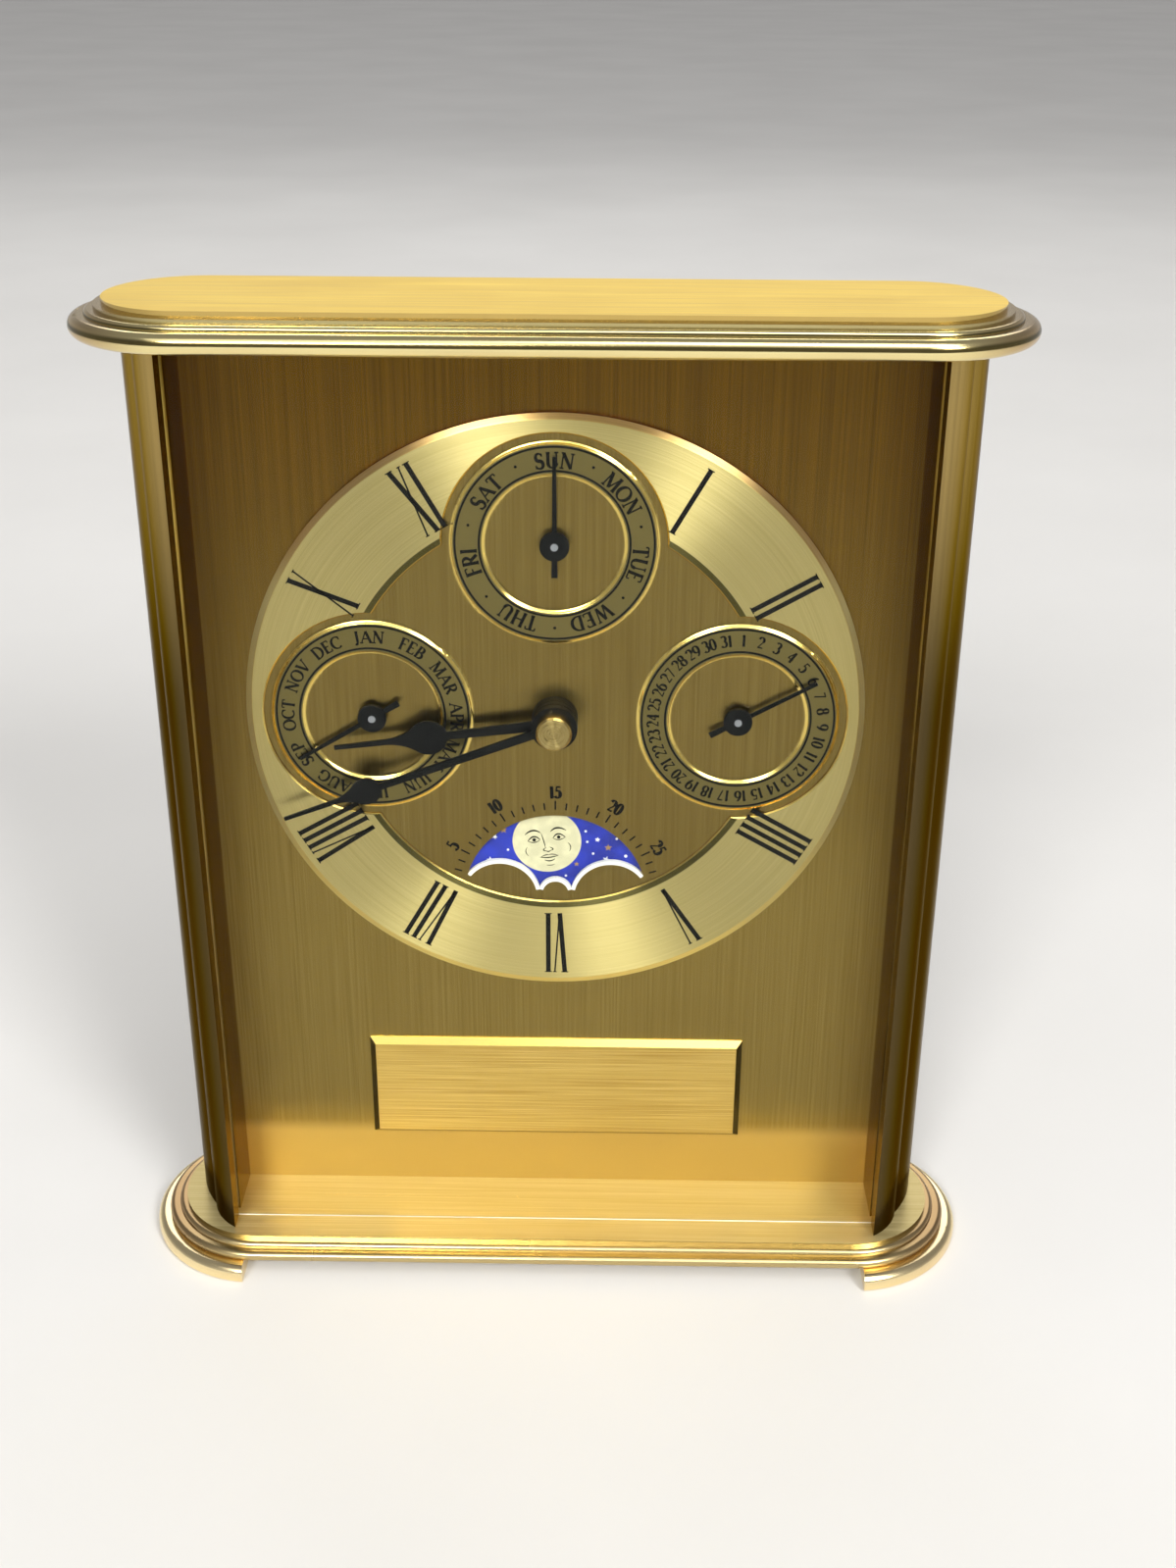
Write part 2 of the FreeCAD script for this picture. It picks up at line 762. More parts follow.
def build_column(label, side):
    """Side column: bead, belly and rear bead outside; grooves inside."""
    body = new_body(label)
    inner = D.opening_half_width
    glass_back = D.glass_thickness - D.glass_front
    notch = D.column_notch
    shape = (
        (inner, -D.column_front),
        (D.column_bead_side, -D.column_bead_end),
        (D.column_bead_side - notch, notch - D.column_bead_end),
        (D.column_bead_side, 2 * notch - D.column_bead_end),
        (D.column_belly_side, D.column_belly_end),
        (D.column_belly_side - notch, D.column_belly_end + notch),
        (D.column_belly_side, D.column_belly_end + 2 * notch),
        (D.column_rear_side, D.column_back),
        (inner, D.column_back),
        (inner, dial_back + D.dial_play),
        (inner + D.dial_groove, dial_back + D.dial_play),
        (inner + D.dial_groove, D.dial_face),
        (inner, D.dial_face),
        (inner, glass_back + D.glass_play),
        (inner + D.glass_groove, glass_back + D.glass_play),
        (inner + D.glass_groove, -D.glass_front - D.glass_play),
        (inner, -D.glass_front - D.glass_play),
    )
    arcs = {0: (D.column_bead_curve, side), 3: (D.column_belly_curve, side),
            6: (D.column_rear_curve, side)}
    sketch = new_sketch(body, "section", "XY", floor)
    outline(sketch, [(x * side, y) for x, y in shape], arcs)
    pad(body, sketch, ceiling - floor)
    for name, level, depth in (("top_taps", ceiling, D.case_screw_reach),
                               ("bottom_taps", floor + D.case_screw_reach, D.case_screw_reach)):
        taps = new_sketch(body, name, "XY", level)
        for x, y in CASE_SCREWS:
            if x.number * side > 0:
                circle(taps, x, y, D.case_screw_radius)
        pocket(body, taps, depth)


build_column("column_left", -1)
build_column("column_right", 1)


def build_case_screws(label, bottom, head_low, head_high, top):
    """Countersunk case screws, head below or above the shank."""
    screws = []
    for number, (x, y) in enumerate(CASE_SCREWS):
        name = "%s_%d" % (label, number)
        shank = cylinder_z(name + "_shank", x, y, bottom, top, D.case_screw_radius)
        head = cylinder_z(name + "_head", x, y, head_low, head_high, D.case_head_radius)
        screws.append(fused(name, [shank, head]))
    return group(label, screws)


build_case_screws("bottom_screws", counterbore_top - D.case_head_height,
                  counterbore_top - D.case_head_height, counterbore_top,
                  floor + D.case_screw_reach)
build_case_screws("top_screws", ceiling - D.case_screw_reach,
                  top_head_bottom, top_head_bottom + D.case_head_height,
                  top_head_bottom + D.case_head_height)


def build_glass():
    """Flat pane in the columns' grooves, with a strip at each side edge."""
    reach = D.opening_half_width + D.glass_groove - D.seal_width
    back = D.glass_thickness - D.glass_front
    pane = box("glass_pane", -reach, reach, -D.glass_front, back, floor, ceiling)
    pane.Label = "glass_pane"
    nodes.append(pane)
    far = D.opening_half_width + D.glass_groove
    strips = [box("seal_left", -far, -reach, -D.glass_front, back, floor, ceiling),
              box("seal_right", reach, far, -D.glass_front, back, floor, ceiling)]
    group("glass_seals", strips)


build_glass()


def build_back_panel():
    """Brass rear panel with a cut-out for the movement and the battery bay."""
    body = new_body("back_panel")
    sheet_outline = new_sketch(body, "panel", "XZ", panel_back)
    rectangle(sheet_outline, -D.panel_half_width, floor, D.panel_half_width, ceiling)
    pad(body, sheet_outline, D.panel_thickness)
    opening = new_sketch(body, "opening", "XZ", D.column_back)
    wide = housing_half_width + D.panel_gap
    narrow = D.bay_half_width + D.panel_gap
    low = bay_bottom - D.panel_gap
    middle = housing_bottom - D.panel_gap
    high = housing_top + D.panel_gap
    outline(opening, ((-narrow, low), (narrow, low), (narrow, middle), (wide, middle),
                      (wide, high), (-wide, high), (-wide, middle), (-narrow, middle)))
    pocket(body, opening, D.panel_thickness)
    holes = new_sketch(body, "holes", "XZ", D.column_back)
    for x, z in PANEL_SCREWS:
        circle(holes, x, z, D.screw_radius + 0.05)
    pocket(body, holes, D.panel_thickness)


PANEL_SCREW_X = (D.opening_half_width + D.column_rear_side) / 2
PANEL_SCREWS = [(PANEL_SCREW_X * side, level) for side in (-1, 1)
                for level in (floor + 16.0, ceiling - 16.0)]
build_back_panel()


def build_panel_screws():
    screws = []
    for number, (x, z) in enumerate(PANEL_SCREWS):
        name = "panel_screw_%d" % number
        shank = cylinder_y(name + "_shank", x, z, D.column_back - D.screw_engagement,
                           panel_back, D.screw_radius)
        head = cylinder_y(name + "_head", x, z, panel_back,
                          panel_back + D.screw_head_height, D.screw_head_radius)
        screws.append(fused(name, [shank, head]))
    group("panel_screws", screws)


build_panel_screws()


def tap_columns():
    """Holes in the columns' back faces for the panel screws."""
    for label, side in (("column_left", -1), ("column_right", 1)):
        body = [node for node in nodes if node.Label == label][0]
        taps = new_sketch(body, "panel_taps", "XZ", D.column_back - D.screw_engagement)
        for x, z in PANEL_SCREWS:
            if x.number * side > 0:
                circle(taps, x, z, D.screw_radius)
        pocket(body, taps, D.screw_engagement)


tap_columns()


# ---------------------------------------------------------------- the dial

def build_dial_plate():
    """Main dial sheet, slid into the columns' grooves."""
    body = new_body("dial_plate")
    reach = D.opening_half_width + D.dial_groove - D.dial_play
    face = new_sketch(body, "face", "XZ", dial_back)
    rectangle(face, -reach, floor, reach, ceiling)
    pad(body, face, D.dial_thickness)
    holes = new_sketch(body, "holes", "XZ", D.dial_face)
    circle(holes, 0, dial_centre, D.bushing_radius)
    circle(holes, 0, moon_height, moon_disc_radius + D.panel_gap)
    for x, z in SMALL_AXES.values():
        circle(holes, x, z, D.small_arbor_radius + D.plate_play)
    for x, z in RING_RIVETS + LOBE_RIVETS:
        circle(holes, x, z, D.rivet_radius)
    pocket(body, holes, D.dial_thickness)


def on_rivet_circle(angles):
    return [(D.rivet_circle * math.sin(math.radians(angle)),
             dial_centre + D.rivet_circle * math.cos(math.radians(angle))) for angle in angles]


def rivet_holes(body, rivets, drop=0):
    """Blind holes for the rivets in the back of a piece on the dial sheet."""
    holes = new_sketch(body, "rivet_holes", "XZ", D.dial_face - D.rivet_depth)
    for x, z in rivets:
        circle(holes, x, z - drop, D.rivet_radius)
    pocket(body, holes, D.rivet_depth)


moon_disc_radius = D.window_radius + 0.5
RING_RIVETS = on_rivet_circle((45, 135, 225, 315))
LOBE_RIVETS = on_rivet_circle((0, 90, 270))
build_dial_plate()


def build_chapter_ring():
    """Hour ring, proud of the centre dial, with round cut-outs for its lobes."""
    face = ring_front
    slope = face + D.ring_inner_depth
    body = turned("chapter_ring", (
        (D.ring_inner, D.dial_face), (D.ring_inner, slope + D.ring_cut_bevel),
        (D.ring_inner + D.ring_cut_bevel, slope), (D.ring_inner + D.ring_inner_bevel, face),
        (D.ring_outer - D.ring_bevel, face), (D.ring_outer, face + D.ring_bevel_depth),
        (D.ring_outer, D.dial_face)), 0, dial_centre)
    beyond = D.centre_thickness
    cut = D.lobe_radius + D.centre_gap
    for name, (x, z) in SMALL_AXES.items():
        turned_part(body, "Groove", name + "_cut", (
            (0, face - beyond), (cut + D.ring_cut_bevel, face - beyond),
            (cut + D.ring_cut_bevel, face), (cut, face + D.ring_cut_bevel),
            (cut, D.dial_face + beyond), (0, D.dial_face + beyond)), x, z - dial_centre)
    rivet_holes(body, RING_RIVETS, dial_centre)


build_chapter_ring()


def crossing(centre_a, radius_a, centre_b, radius_b, upper=True):
    """Where two circles in the dial's plane cross, the higher or lower spot."""
    ax, az = (size_of(v).number for v in centre_a)
    bx, bz = (size_of(v).number for v in centre_b)
    gap = math.hypot(bx - ax, bz - az)
    along = (radius_a ** 2 - radius_b ** 2 + gap ** 2) / (2 * gap)
    rise = math.sqrt(radius_a ** 2 - along ** 2)
    ux, uz = (bx - ax) / gap, (bz - az) / gap
    spots = [(ax + ux * along - uz * rise * s, az + uz * along + ux * rise * s)
             for s in (-1, 1)]
    return max(spots, key=lambda spot: spot[1] if upper else -spot[1])


def window_outline(sketch):
    """Moon window: a wide arch above, two humps and a small nose below."""
    arch = (0, moon_height)
    hump = (D.hump_offset, moon_height)
    nose = (0, moon_height + D.nose_rise)
    sizes = (D.window_radius.number, D.hump_radius.number, D.nose_radius.number)
    corner = crossing(arch, sizes[0], hump, sizes[1])
    dip = crossing(hump, sizes[1], nose, sizes[2])
    points = ((corner[0], corner[1]), (-corner[0], corner[1]),
              (-dip[0], dip[1]), (dip[0], dip[1]))
    arcs = {0: (D.window_radius, 1), 1: (D.hump_radius, -1),
            2: (D.nose_radius, -1), 3: (D.hump_radius, -1)}
    outline(sketch, points, arcs)


def build_centre_dial():
    """Centre sheet with three round lobes, a raised lettering track on each."""
    body = new_body("centre_dial")
    middle = new_sketch(body, "disc", "XZ", D.dial_face)
    circle(middle, 0, dial_centre, centre_radius)
    pad(body, middle, D.centre_thickness)
    for name, (x, z) in SMALL_AXES.items():
        lobe = new_sketch(body, name + "_lobe", "XZ", D.dial_face)
        circle(lobe, x, z, D.lobe_radius)
        pad(body, lobe, D.centre_thickness)
    inside = centre_front + D.centre_thickness / 2
    shoulder = track_front + D.track_shoulder_drop
    for name, (x, z) in SMALL_AXES.items():
        turned_part(body, "Revolution", name + "_track", (
            (D.track_inner - D.track_foot, inside), (D.track_inner - D.track_foot, centre_front),
            (D.track_inner - D.track_shoulder, shoulder), (D.track_inner, track_front),
            (D.track_outer, track_front), (D.track_outer + D.track_shoulder, shoulder),
            (D.track_outer + D.track_foot, centre_front), (D.track_outer + D.track_foot, inside)),
            x, z, {1: (D.track_foot_curve, -1), 5: (D.track_foot_curve, -1)})
    holes = new_sketch(body, "holes", "XZ", centre_front)
    circle(holes, 0, dial_centre, D.bushing_radius)
    for x, z in SMALL_AXES.values():
        circle(holes, x, z, D.small_arbor_radius + D.plate_play)
    pocket(body, holes, D.centre_thickness)
    rivet_holes(body, LOBE_RIVETS)
    window = new_sketch(body, "moon_window", "XZ", centre_front)
    window_outline(window)
    pocket(body, window, D.centre_thickness)


build_centre_dial()


def build_rivets():
    """Pins that hold the lobes and the hour ring on the dial sheet."""
    pins = []
    for number, (x, z) in enumerate(RING_RIVETS + LOBE_RIVETS):
        pins.append(cylinder_y("dial_rivet_%d" % number, x, z,
                               D.dial_face - D.rivet_depth, dial_back, D.rivet_radius))
    group("dial_rivets", pins)


build_rivets()


def build_nameplate():
    """Blank plate with bevelled edges below the hour ring."""
    body = new_body("nameplate")
    half = D.nameplate_width / 2
    low = nameplate_centre - D.nameplate_height / 2
    high = nameplate_centre + D.nameplate_height / 2
    front = D.dial_face - D.nameplate_thickness
    sketch = new_sketch(body, "plate", "XZ", D.dial_face)
    rectangle(sketch, -half, low, half, high)
    plate = pad(body, sketch, D.nameplate_thickness)
    bevel_edges(body, plate, "bevel", D.nameplate_bevel, lambda spot: near(spot.y, front))


build_nameplate()


# ------------------------------------------------------------- the centre

turned("centre_bushing", (
    (D.bushing_bore, nut_front), (D.bushing_radius, nut_front),
    (D.bushing_radius, dial_back), (D.flange_radius, dial_back),
    (D.flange_radius, front_plate_front), (D.bushing_radius, front_plate_front),
    (D.bushing_radius, front_plate_back), (D.bushing_bore, front_plate_back)),
    0, dial_centre)

turned("centre_nut", (
    (D.bushing_radius, nut_front), (D.nut_radius, nut_front),
    (D.nut_radius, centre_front), (D.bushing_radius, centre_front)), 0, dial_centre)


def build_hand(label, length, angle, hub_back, hub_thickness, bore, blade):
    """Spade hand on a round hub; blade holds (half width, share of length)."""
    body = new_body(label)
    middle = hub_back - (hub_thickness - D.blade_thickness) / 2
    sketch = new_sketch(body, "blade", "XZ", middle)
    right = [(width, length * share) for width, share in blade["points"]]
    left = [(-width, length * share) for width, share in reversed(blade["points"])]
    last = len(right) - 1
    arcs = {}
    for side, (radius, turn) in blade["arcs"].items():
        arcs[side] = (radius, turn)
        arcs[2 * last - side] = (radius, turn)
    outline(sketch, right + left, arcs)
    pad(body, sketch, D.blade_thickness)
    hub = new_sketch(body, "hub", "XZ", hub_back)
    circle(hub, 0, 0, D.hand_hub_radius)
    pad(body, hub, hub_thickness)
    hole = new_sketch(body, "bore", "XZ", hub_back - hub_thickness)
    circle(hole, 0, 0, bore)
    pocket(body, hole, hub_thickness)
    place(body, 0, 0, dial_centre, angle)


HOUR_BLADE = {
    "points": ((1.0, 0.08), (0.72, 0.487), (3.2, 0.566), (2.2, 0.636), (0.5, 0.79), (0.36, 1.0)),
    "arcs": {1: (3.4, 1), 2: (3.6, 1), 3: (9.5, -1)},
}
MINUTE_BLADE = {
    "points": ((0.8, 0.06), (0.6, 0.64), (2.5, 0.692), (1.7, 0.733), (0.42, 0.825), (0.33, 1.0)),
    "arcs": {1: (2.7, 1), 2: (2.9, 1), 3: (7.5, -1)},
}
build_hand("hour_hand", D.hour_hand_length, D.hour_hand_angle, hour_hub_back,
           D.hour_hub_thickness, D.pipe_radius, HOUR_BLADE)
build_hand("minute_hand", D.minute_hand_length, D.minute_hand_angle, minute_hub_back,
           D.minute_hub_thickness, D.arbor_radius, MINUTE_BLADE)

cap_seat = minute_hub_front - D.cap_thickness / 2
turned("hand_cap", (
    (0, cap_front), (D.cap_radius - D.cap_bevel, cap_front),
    (D.cap_radius, cap_front + D.cap_bevel), (D.cap_radius, minute_hub_front),
    (D.arbor_radius, minute_hub_front), (D.arbor_radius, cap_seat), (0, cap_seat)),
    0, dial_centre)


def build_small_hand(label, x, z, angle):
    """Thin pointer with a short tail and a round hub."""
    body = new_body(label)
    hub_back = track_front - D.small_hand_gap
    blade_back = hub_back - (D.small_hub_thickness - D.small_blade_thickness) / 2
    sketch = new_sketch(body, "blade", "XZ", blade_back)
    outline(sketch, ((0.42, 0), (0.3, D.small_hand_length), (-0.3, D.small_hand_length),
                     (-0.42, 0), (-0.55, -D.small_tail_length), (0.55, -D.small_tail_length)))
    pad(body, sketch, D.small_blade_thickness)
    hub = new_sketch(body, "hub", "XZ", hub_back)
    circle(hub, 0, 0, D.small_hub_radius)
    pad(body, hub, D.small_hub_thickness)
    hole = new_sketch(body, "bore", "XZ", hub_back - D.small_hub_thickness)
    circle(hole, 0, 0, D.small_arbor_radius)
    pocket(body, hole, D.small_hub_thickness)
    place(body, x, 0, z, angle)


SMALL_ANGLES = {"day": D.day_hand_angle, "date": D.date_hand_angle, "month": D.month_hand_angle}
for name, (x, z) in SMALL_AXES.items():
    build_small_hand(name + "_hand", x, z, SMALL_ANGLES[name])


# ---------------------------------------------------------- wheels and train

def number(size):
    return size_of(size).number


CENTRE = (0.0, number(dial_centre))
BACK_GAP = 0.3

# motion work: cannon pinion, minute wheel, hour wheel, 12 to 1
CANNON_TEETH = 10
MINUTE_TEETH = 30
MINUTE_LEAF_TEETH = 10
HOUR_TEETH = 40
SETTING_TEETH = 15
MINUTE_MODULE, HOUR_MODULE = 0.5, 0.4
# day wheel: hour pinion, transfer wheel, 24-hour wheel, 2 to 1
HOUR_PINION_TEETH = 24
TRANSFER_TEETH = 24
TRANSFER_LEAF_TEETH = 16
DAY_DRIVE_TEETH = 32
CALENDAR_MODULE = 0.4

MINUTE_DIRECTION = 135.0
SETTING_DIRECTION = 120.0
TRANSFER_DIRECTION = 225.0

minute_centre = step(CENTRE, MINUTE_DIRECTION,
                     gear_distance(CANNON_TEETH, MINUTE_TEETH, MINUTE_MODULE))
setting_centre = step(minute_centre, SETTING_DIRECTION,
                      gear_distance(MINUTE_TEETH, SETTING_TEETH, MINUTE_MODULE))
transfer_centre = step(CENTRE, TRANSFER_DIRECTION,
                       gear_distance(HOUR_PINION_TEETH, TRANSFER_TEETH, CALENDAR_MODULE))

WHEEL = 0.5
calendar_level = number(front_plate_back) + BACK_GAP
train_level = number(train_plate_back) + BACK_GAP
play = number(D.running_play)
pivot = number(D.pivot_radius)

disc_front = calendar_level
day_gear_front = disc_front + WHEEL
transfer_leaf_front = day_gear_front + 0.1
transfer_front = number(train_plate_front) - BACK_GAP - 0.6
leaf_front = train_level
cannon_front = train_level + 1.1
centre_wheel_front = cannon_front + 1.1

# hour wheel, its pipe and the pinion that drives the 24-hour wheel
hour_phase = MINUTE_DIRECTION
wheel_node("hour_wheel", [
    rod(CENTRE, number(D.pipe_radius), number(hour_hub_front), train_level + 0.7),
    toothed(CENTRE, train_level + 0.1, 0.6, HOUR_TEETH, HOUR_MODULE, hour_phase),
    toothed(CENTRE, transfer_front, 0.6, HOUR_PINION_TEETH, CALENDAR_MODULE,
            TRANSFER_DIRECTION),
], [rod(CENTRE, number(D.pipe_bore), number(hour_hub_front) - 1, train_level + 2)])

# minute arbor with the cannon pinion
wheel_node("minute_arbor", [
    rod(CENTRE, number(D.arbor_radius), number(cap_seat), centre_wheel_front + 0.9),
    toothed(CENTRE, cannon_front, 0.9, CANNON_TEETH, MINUTE_MODULE, MINUTE_DIRECTION),
    rod(CENTRE, pivot, centre_wheel_front + 0.9, number(housing_inside + D.pivot_depth)),
])

# minute wheel with its leaf pinion, on a fixed stud
minute_phase = meshed_phase(MINUTE_DIRECTION, CANNON_TEETH, MINUTE_DIRECTION, MINUTE_TEETH)
leaf_phase = meshed_phase(hour_phase, HOUR_TEETH, MINUTE_DIRECTION, MINUTE_LEAF_TEETH)
STUD_RADIUS = 0.7
wheel_node("minute_wheel", [
    toothed(minute_centre, cannon_front + 0.15, 0.6, MINUTE_TEETH, MINUTE_MODULE, minute_phase),
    toothed(minute_centre, leaf_front, cannon_front + 0.15 - leaf_front, MINUTE_LEAF_TEETH,
            HOUR_MODULE, leaf_phase),
], [rod(minute_centre, STUD_RADIUS + play, leaf_front - 1, cannon_front + 2)])

# setting pinion on the shaft that the rear knob turns
setting_phase = meshed_phase(minute_phase, MINUTE_TEETH, SETTING_DIRECTION, SETTING_TEETH)
knob_front = number(housing_outside + D.knob_gap)
SETTING_SHAFT = 1.0
wheel_node("setting_shaft", [
    toothed(setting_centre, cannon_front + 0.1, 0.7, SETTING_TEETH, MINUTE_MODULE,
            setting_phase),
    rod(setting_centre, pivot, number(train_plate_front) + BACK_GAP, cannon_front + 0.1),
    rod(setting_centre, SETTING_SHAFT, cannon_front + 0.1, knob_front + 2.0),
])

# transfer wheel and 24-hour wheel
transfer_phase = meshed_phase(TRANSFER_DIRECTION, HOUR_PINION_TEETH, TRANSFER_DIRECTION,
                              TRANSFER_TEETH)
wheel_node("transfer_wheel", [
    toothed(transfer_centre, transfer_front + 0.05, 0.5, TRANSFER_TEETH, CALENDAR_MODULE,
            transfer_phase),
    toothed(transfer_centre, transfer_leaf_front, transfer_front + 0.05 - transfer_leaf_front,
            TRANSFER_LEAF_TEETH, CALENDAR_MODULE, TRANSFER_DIRECTION),
], [rod(transfer_centre, STUD_RADIUS + play, transfer_leaf_front - 1, transfer_front + 2)])

DISC_RADIUS = 18.0
TAB_REACH = 21.0
TAB_HALF_WIDTH = 0.8
MIDNIGHT_TURN = 99.5


def finger(centre, angle):
    """Finger on the rim of the 24-hour wheel."""
    length = TAB_REACH - DISC_RADIUS + 1
    tab = Part.makeBox(2 * TAB_HALF_WIDTH, WHEEL, length,
                       Vector(-TAB_HALF_WIDTH, disc_front, DISC_RADIUS - 1))
    tab.rotate(Vector(0, 0, 0), Vector(0, 1, 0), angle)
    tab.translate(Vector(centre[0], 0, centre[1]))
    return tab


day_wheel_phase = meshed_phase(TRANSFER_DIRECTION, TRANSFER_LEAF_TEETH,
                               TRANSFER_DIRECTION + 180, DAY_DRIVE_TEETH)
wheel_node("day_drive_wheel", [
    rod(CENTRE, DISC_RADIUS, disc_front, disc_front + WHEEL),
    toothed(CENTRE, day_gear_front, 0.6, DAY_DRIVE_TEETH, CALENDAR_MODULE, day_wheel_phase),
] + [finger(CENTRE, MIDNIGHT_TURN + quarter) for quarter in (0, 90, 180)],
    [rod(CENTRE, number(D.pipe_radius) + play, disc_front - 1, disc_front + 3)])

# calendar star wheels on the small hands' arbors; a finger of the 24-hour wheel
# reaches into the star's teeth by its bite, and carries one tooth past a night
DAY_BITE, DATE_BITE, MOON_BITE = 2.2, 0.33, 0.14
FINGER_CLEARANCE = 1.0
DAY_STAR_TEETH = 7
DATE_STAR_TEETH = 31
MONTH_STAR_TEETH = 12
MOON_STAR_TEETH = 59
arbor_front = number(track_front - D.small_hand_gap - D.small_hub_thickness
                     - D.small_pin_height)
arbor_back = number(train_plate_back)
small_arbor = number(D.small_arbor_radius)
moon_front = number(D.dial_face) + 0.2
STAR_CENTRES = {name: (number(x), number(z)) for name, (x, z) in SMALL_AXES.items()}
STAR_CENTRES["moon"] = (0.0, number(moon_height))


def star_tip(centre, bite):
    return math.dist(centre, CENTRE) - TAB_REACH + bite


# each star: number of teeth, tip radius, root radius as a share of it
STARS = {
    "day": (DAY_STAR_TEETH, star_tip(STAR_CENTRES["day"], DAY_BITE), 0.64),
    "date": (DATE_STAR_TEETH, star_tip(STAR_CENTRES["date"], DATE_BITE), 0.88),
    "month": (MONTH_STAR_TEETH, star_tip(STAR_CENTRES["month"], -FINGER_CLEARANCE), 0.76),
    "moon": (MOON_STAR_TEETH, star_tip(STAR_CENTRES["moon"], MOON_BITE), 0.93),
}
for name, (teeth, tip, root_share) in STARS.items():
    axis = STAR_CENTRES[name]
    gap = clock_angle(axis, CENTRE) + 180.0 / teeth
    front = moon_front if name == "moon" else arbor_front
    label = "moon_wheel" if name == "moon" else name + "_star_wheel"
    wheel_node(label, [
        star(axis, disc_front, WHEEL, teeth, tip, tip * root_share, gap),
        rod(axis, small_arbor * 2.2, disc_front + WHEEL / 2, number(train_plate_front) - 0.2),
        rod(axis, small_arbor, front, arbor_back),
    ])

MOON_THICKNESS = 0.5
moon_body = turned("moon_disc", (
    (D.small_arbor_radius, moon_front), (moon_disc_radius, moon_front),
    (moon_disc_radius, moon_front + MOON_THICKNESS),
    (D.small_arbor_radius, moon_front + MOON_THICKNESS)), 0, moon_height)

# time train: rotor to centre wheel, 1800 to 1
ROTOR_TEETH = 8
SECOND_TEETH = 48
SECOND_LEAF_TEETH = 8
FOURTH_TEETH = 40
FOURTH_LEAF_TEETH = 8
THIRD_TEETH = 64
THIRD_LEAF_TEETH = 8
CENTRE_TEETH = 60
SECOND_MODULE, FOURTH_MODULE, THIRD_MODULE, CENTRE_MODULE = 0.2, 0.25, 0.2, 0.3

THIRD_DIRECTION = 250.0
FOURTH_DIRECTION = 290.0
SECOND_DIRECTION = 340.0
ROTOR_DIRECTION = 280.0
third_centre = step(CENTRE, THIRD_DIRECTION,
                    gear_distance(THIRD_LEAF_TEETH, CENTRE_TEETH, CENTRE_MODULE))
fourth_centre = step(third_centre, FOURTH_DIRECTION,
                     gear_distance(FOURTH_LEAF_TEETH, THIRD_TEETH, THIRD_MODULE))
second_centre = step(fourth_centre, SECOND_DIRECTION,
                     gear_distance(SECOND_LEAF_TEETH, FOURTH_TEETH, FOURTH_MODULE))
rotor_centre = step(second_centre, ROTOR_DIRECTION,
                    gear_distance(ROTOR_TEETH, SECOND_TEETH, SECOND_MODULE))

pivot_front = number(train_plate_front) + BACK_GAP
pivot_back = number(housing_inside + D.pivot_depth) - 0.1
TRAIN_WHEEL = 0.35
TRAIN_STEP = 0.75


def train_wheel(label, centre, wheel, leaf, wheel_front, leaf_front, leaf_length):
    """Train wheel and its leaf pinion on a plain arbor; each (teeth, module, phase)."""
    wheel_node(label, [
        toothed(centre, wheel_front, TRAIN_WHEEL, *wheel),
        toothed(centre, leaf_front, leaf_length, *leaf),
        rod(centre, pivot, pivot_front, pivot_back),
    ])


centre_phase = THIRD_DIRECTION
wheel_node("centre_wheel", [
    toothed(CENTRE, centre_wheel_front, TRAIN_WHEEL, CENTRE_TEETH, CENTRE_MODULE, centre_phase),
    rod(CENTRE, 2.6, centre_wheel_front, centre_wheel_front + 0.7),
], [rod(CENTRE, number(D.arbor_radius) + play, centre_wheel_front - 1, centre_wheel_front + 2)])

third_front = centre_wheel_front + TRAIN_STEP
fourth_front = third_front + TRAIN_STEP
second_front = fourth_front + TRAIN_STEP
third_leaf_phase = meshed_phase(centre_phase, CENTRE_TEETH, THIRD_DIRECTION, THIRD_LEAF_TEETH)
train_wheel("third_wheel", third_centre, (THIRD_TEETH, THIRD_MODULE, FOURTH_DIRECTION),
            (THIRD_LEAF_TEETH, CENTRE_MODULE, third_leaf_phase), third_front,
            centre_wheel_front - 0.1, third_front - centre_wheel_front + 0.1)
fourth_leaf_phase = meshed_phase(FOURTH_DIRECTION, THIRD_TEETH, FOURTH_DIRECTION, FOURTH_LEAF_TEETH)
train_wheel("fourth_wheel", fourth_centre, (FOURTH_TEETH, FOURTH_MODULE, SECOND_DIRECTION),
            (FOURTH_LEAF_TEETH, THIRD_MODULE, fourth_leaf_phase), fourth_front,
            third_front - 0.1, fourth_front - third_front + 0.1)
second_leaf_phase = meshed_phase(SECOND_DIRECTION, FOURTH_TEETH, SECOND_DIRECTION, SECOND_LEAF_TEETH)
train_wheel("second_wheel", second_centre, (SECOND_TEETH, SECOND_MODULE, ROTOR_DIRECTION),
            (SECOND_LEAF_TEETH, FOURTH_MODULE, second_leaf_phase), second_front,
            fourth_front - 0.1, second_front - fourth_front + 0.1)
rotor_phase = meshed_phase(ROTOR_DIRECTION, SECOND_TEETH, ROTOR_DIRECTION, ROTOR_TEETH)
ROTOR_RADIUS = 2.5
ROTOR_LENGTH = 1.5
rotor_front = second_front - 0.2 - ROTOR_LENGTH
wheel_node("rotor", [
    rod(rotor_centre, ROTOR_RADIUS, rotor_front, rotor_front + ROTOR_LENGTH),
    toothed(rotor_centre, rotor_front + ROTOR_LENGTH, 0.7, ROTOR_TEETH, SECOND_MODULE,
            rotor_phase),
    rod(rotor_centre, pivot, pivot_front, pivot_back),
])


# ------------------------------------------------------------ movement case

